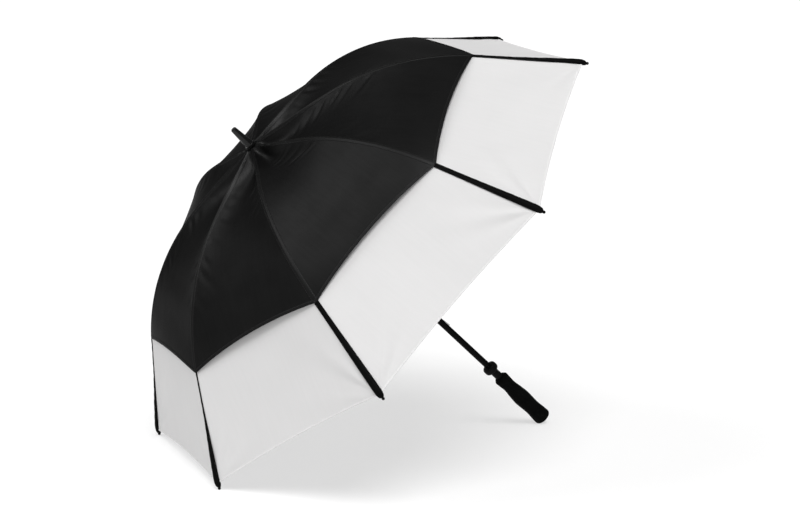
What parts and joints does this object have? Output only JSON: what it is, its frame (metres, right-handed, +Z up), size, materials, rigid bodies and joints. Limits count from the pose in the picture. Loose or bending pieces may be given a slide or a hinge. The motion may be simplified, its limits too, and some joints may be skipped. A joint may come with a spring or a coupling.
{
  "type": "golf umbrella",
  "caption": "Large vented golf umbrella, open and lying on its rib ends and grip: black upper canopy, white lower canopy, straight shaft and foam grip.",
  "frame": {"origin": "centre of the bounding box at floor level, with the umbrella lying open on two rib ends and the end of its grip", "axes": "Z is up, square to the floor; the shaft lies in the XZ plane, about 45 degrees above the floor, with the grip towards +X and the ferrule up towards -X; Y runs across the canopy"},
  "size_m": [0.8504, 1.1646, 0.8501],
  "materials": {
    "shaft": "pultruded glass fibre, satin black",
    "gloss_black": "glossy moulded",
    "moulded_black": "satin moulded nylon",
    "foam": "fine closed-cell foam",
    "wire": "drawn spring wire and pressed spring strip",
    "glass_fibre": "glass fibre rod, satin black",
    "black_fabric": "tightly woven satin polyester",
    "white_fabric": "tightly woven satin polyester"
  },
  "bodies": {
    "frame": {"shaft": "shaft", "ferrule": "gloss_black", "canopy_cap": "black_fabric", "crown": "moulded_black", "crown_wire": "wire", "knob": "moulded_black", "grip": "foam", "grip_plug": "moulded_black"},
    "slider": {"runner": "moulded_black", "runner_wire": "wire"},
    "top_latch": {"top_catch": "wire"},
    "bottom_latch": {"bottom_catch": "wire"},
    "arm_1": {"rib_1": "glass_fibre", "rib_tip_1": "moulded_black", "rib_joint_1": "moulded_black"},
    "strut_1": {"stretcher_1": "glass_fibre"},
    "gore_1": {"upper_panel_1": "black_fabric", "lower_panel_1": "white_fabric"},
    "arm_2": {"rib_2": "glass_fibre", "rib_tip_2": "moulded_black", "rib_joint_2": "moulded_black"},
    "strut_2": {"stretcher_2": "glass_fibre"},
    "gore_2": {"upper_panel_2": "black_fabric", "lower_panel_2": "white_fabric"},
    "arm_3": {"rib_3": "glass_fibre", "rib_tip_3": "moulded_black", "rib_joint_3": "moulded_black"},
    "strut_3": {"stretcher_3": "glass_fibre"},
    "gore_3": {"upper_panel_3": "black_fabric", "lower_panel_3": "white_fabric"},
    "arm_4": {"rib_4": "glass_fibre", "rib_tip_4": "moulded_black", "rib_joint_4": "moulded_black"},
    "strut_4": {"stretcher_4": "glass_fibre"},
    "gore_4": {"upper_panel_4": "black_fabric", "lower_panel_4": "white_fabric"},
    "arm_5": {"rib_5": "glass_fibre", "rib_tip_5": "moulded_black", "rib_joint_5": "moulded_black"},
    "strut_5": {"stretcher_5": "glass_fibre"},
    "gore_5": {"upper_panel_5": "black_fabric", "lower_panel_5": "white_fabric"},
    "arm_6": {"rib_6": "glass_fibre", "rib_tip_6": "moulded_black", "rib_joint_6": "moulded_black"},
    "strut_6": {"stretcher_6": "glass_fibre"},
    "gore_6": {"upper_panel_6": "black_fabric", "lower_panel_6": "white_fabric"},
    "arm_7": {"rib_7": "glass_fibre", "rib_tip_7": "moulded_black", "rib_joint_7": "moulded_black"},
    "strut_7": {"stretcher_7": "glass_fibre"},
    "gore_7": {"upper_panel_7": "black_fabric", "lower_panel_7": "white_fabric"},
    "arm_8": {"rib_8": "glass_fibre", "rib_tip_8": "moulded_black", "rib_joint_8": "moulded_black"},
    "strut_8": {"stretcher_8": "glass_fibre"},
    "gore_8": {"upper_panel_8": "black_fabric", "lower_panel_8": "white_fabric"}
  },
  "joints": [
    {"name": "runner_slide", "type": "slide", "parent": "frame", "child": "slider", "axis": [0.7075, 0, -0.7067], "range_m": [0, 0.32545], "deforming": ["top_catch", "bottom_catch"]},
    {"name": "top_latch_press", "type": "slide", "parent": "frame", "child": "top_latch", "axis": [-0.7067, 0, -0.7075], "range_m": [0, 0.003], "stiffness_N_per_m": 300},
    {"name": "bottom_latch_press", "type": "slide", "parent": "frame", "child": "bottom_latch", "axis": [-0.7067, 0, -0.7075], "range_m": [0, 0.003], "stiffness_N_per_m": 300},
    {"name": "rib_1_fold", "type": "hinge", "parent": "frame", "child": "arm_1", "pos_m": [-0.24, 0.00574, 0.64481], "axis": [-0.2704, -0.9239, -0.2708], "range_deg": [0, 59.2]},
    {"name": "stretcher_1_swing", "type": "hinge", "parent": "arm_1", "child": "strut_1", "pos_m": [-0.38255, 0.11096, 0.42816], "axis": [0.2704, 0.9239, 0.2708], "range_deg": [0, 94.06]},
    {"name": "gore_1_fold", "type": "hinge", "parent": "arm_1", "child": "gore_1", "pos_m": [-0.24168, 0, 0.64312], "axis": [0.954, 0, 0.2997], "range_deg": [0, 43.65], "deforming": ["upper_panel_1", "lower_panel_1"]},
    {"name": "rib_2_fold", "type": "hinge", "parent": "frame", "child": "arm_2", "pos_m": [-0.24, -0.00574, 0.64481], "axis": [0.2704, -0.9239, 0.2708], "range_deg": [0, 59.2]},
    {"name": "stretcher_2_swing", "type": "hinge", "parent": "arm_2", "child": "strut_2", "pos_m": [-0.38255, -0.11096, 0.42816], "axis": [-0.2704, 0.9239, -0.2708], "range_deg": [0, 94.06]},
    {"name": "gore_2_fold", "type": "hinge", "parent": "arm_2", "child": "gore_2", "pos_m": [-0.23832, -0.01148, 0.64649], "axis": [0.7706, 0.6267, 0.116], "range_deg": [0, 43.65], "deforming": ["upper_panel_2", "lower_panel_2"]},
    {"name": "rib_3_fold", "type": "hinge", "parent": "frame", "child": "arm_3", "pos_m": [-0.23427, -0.01386, 0.65055], "axis": [0.6529, -0.3827, 0.6537], "range_deg": [0, 59.2]},
    {"name": "stretcher_3_swing", "type": "hinge", "parent": "arm_3", "child": "strut_3", "pos_m": [-0.27166, -0.26788, 0.53919], "axis": [-0.6529, 0.3827, -0.6537], "range_deg": [0, 94.06]},
    {"name": "gore_3_fold", "type": "hinge", "parent": "arm_3", "child": "gore_3", "pos_m": [-0.23021, -0.01624, 0.65461], "axis": [0.3278, 0.8862, -0.3274], "range_deg": [0, 43.65], "deforming": ["upper_panel_3", "lower_panel_3"]},
    {"name": "rib_4_fold", "type": "hinge", "parent": "frame", "child": "arm_4", "pos_m": [-0.22615, -0.01386, 0.65867], "axis": [0.6529, 0.3827, 0.6537], "range_deg": [0, 59.2]},
    {"name": "stretcher_4_swing", "type": "hinge", "parent": "arm_4", "child": "strut_4", "pos_m": [-0.11484, -0.26788, 0.6962], "axis": [-0.6529, -0.3827, -0.6537], "range_deg": [0, 94.06]},
    {"name": "gore_4_fold", "type": "hinge", "parent": "arm_4", "child": "gore_4", "pos_m": [-0.2221, -0.01148, 0.66273], "axis": [-0.1151, 0.6267, -0.7707], "range_deg": [0, 43.65], "deforming": ["upper_panel_4", "lower_panel_4"]},
    {"name": "rib_5_fold", "type": "hinge", "parent": "frame", "child": "arm_5", "pos_m": [-0.22042, -0.00574, 0.66442], "axis": [0.2704, 0.9239, 0.2708], "range_deg": [0, 59.2]},
    {"name": "stretcher_5_swing", "type": "hinge", "parent": "arm_5", "child": "strut_5", "pos_m": [-0.00395, -0.11096, 0.80723], "axis": [-0.2704, -0.9239, -0.2708], "range_deg": [0, 94.06]},
    {"name": "gore_5_fold", "type": "hinge", "parent": "arm_5", "child": "gore_5", "pos_m": [-0.21874, 0, 0.6661], "axis": [-0.2985, 0, -0.9544], "range_deg": [0, 43.65], "deforming": ["upper_panel_5", "lower_panel_5"]},
    {"name": "rib_6_fold", "type": "hinge", "parent": "frame", "child": "arm_6", "pos_m": [-0.22042, 0.00574, 0.66442], "axis": [-0.2704, 0.9239, -0.2708], "range_deg": [0, 59.2]},
    {"name": "stretcher_6_swing", "type": "hinge", "parent": "arm_6", "child": "strut_6", "pos_m": [-0.00395, 0.11096, 0.80723], "axis": [0.2704, -0.9239, 0.2708], "range_deg": [0, 94.06]},
    {"name": "gore_6_fold", "type": "hinge", "parent": "arm_6", "child": "gore_6", "pos_m": [-0.2221, 0.01148, 0.66273], "axis": [-0.1151, -0.6267, -0.7707], "range_deg": [0, 43.65], "deforming": ["upper_panel_6", "lower_panel_6"]},
    {"name": "rib_7_fold", "type": "hinge", "parent": "frame", "child": "arm_7", "pos_m": [-0.22615, 0.01386, 0.65867], "axis": [-0.6529, 0.3827, -0.6537], "range_deg": [0, 59.2]},
    {"name": "stretcher_7_swing", "type": "hinge", "parent": "arm_7", "child": "strut_7", "pos_m": [-0.11484, 0.26788, 0.6962], "axis": [0.6529, -0.3827, 0.6537], "range_deg": [0, 94.06]},
    {"name": "gore_7_fold", "type": "hinge", "parent": "arm_7", "child": "gore_7", "pos_m": [-0.23021, 0.01624, 0.65461], "axis": [0.3278, -0.8862, -0.3274], "range_deg": [0, 43.65], "deforming": ["upper_panel_7", "lower_panel_7"]},
    {"name": "rib_8_fold", "type": "hinge", "parent": "frame", "child": "arm_8", "pos_m": [-0.23427, 0.01386, 0.65055], "axis": [-0.6529, -0.3827, -0.6537], "range_deg": [0, 59.2]},
    {"name": "stretcher_8_swing", "type": "hinge", "parent": "arm_8", "child": "strut_8", "pos_m": [-0.27166, 0.26788, 0.53919], "axis": [0.6529, 0.3827, 0.6537], "range_deg": [0, 94.06]},
    {"name": "gore_8_fold", "type": "hinge", "parent": "arm_8", "child": "gore_8", "pos_m": [-0.23832, 0.01148, 0.64649], "axis": [0.7706, -0.6267, 0.116], "range_deg": [0, 43.65], "deforming": ["upper_panel_8", "lower_panel_8"]}
  ],
  "couplings": [
    {"joint": "rib_1_fold", "follows": "runner_slide", "rad_per_m": 3.1641},
    {"joint": "stretcher_1_swing", "follows": "runner_slide", "rad_per_m": 5.0281},
    {"joint": "gore_1_fold", "follows": "runner_slide", "rad_per_m": 2.33},
    {"joint": "rib_2_fold", "follows": "runner_slide", "rad_per_m": 3.1641},
    {"joint": "stretcher_2_swing", "follows": "runner_slide", "rad_per_m": 5.0281},
    {"joint": "gore_2_fold", "follows": "runner_slide", "rad_per_m": 2.33},
    {"joint": "rib_3_fold", "follows": "runner_slide", "rad_per_m": 3.1641},
    {"joint": "stretcher_3_swing", "follows": "runner_slide", "rad_per_m": 5.0281},
    {"joint": "gore_3_fold", "follows": "runner_slide", "rad_per_m": 2.33},
    {"joint": "rib_4_fold", "follows": "runner_slide", "rad_per_m": 3.1641},
    {"joint": "stretcher_4_swing", "follows": "runner_slide", "rad_per_m": 5.0281},
    {"joint": "gore_4_fold", "follows": "runner_slide", "rad_per_m": 2.33},
    {"joint": "rib_5_fold", "follows": "runner_slide", "rad_per_m": 3.1641},
    {"joint": "stretcher_5_swing", "follows": "runner_slide", "rad_per_m": 5.0281},
    {"joint": "gore_5_fold", "follows": "runner_slide", "rad_per_m": 2.33},
    {"joint": "rib_6_fold", "follows": "runner_slide", "rad_per_m": 3.1641},
    {"joint": "stretcher_6_swing", "follows": "runner_slide", "rad_per_m": 5.0281},
    {"joint": "gore_6_fold", "follows": "runner_slide", "rad_per_m": 2.33},
    {"joint": "rib_7_fold", "follows": "runner_slide", "rad_per_m": 3.1641},
    {"joint": "stretcher_7_swing", "follows": "runner_slide", "rad_per_m": 5.0281},
    {"joint": "gore_7_fold", "follows": "runner_slide", "rad_per_m": 2.33},
    {"joint": "rib_8_fold", "follows": "runner_slide", "rad_per_m": 3.1641},
    {"joint": "stretcher_8_swing", "follows": "runner_slide", "rad_per_m": 5.0281},
    {"joint": "gore_8_fold", "follows": "runner_slide", "rad_per_m": 2.33}
  ]
}
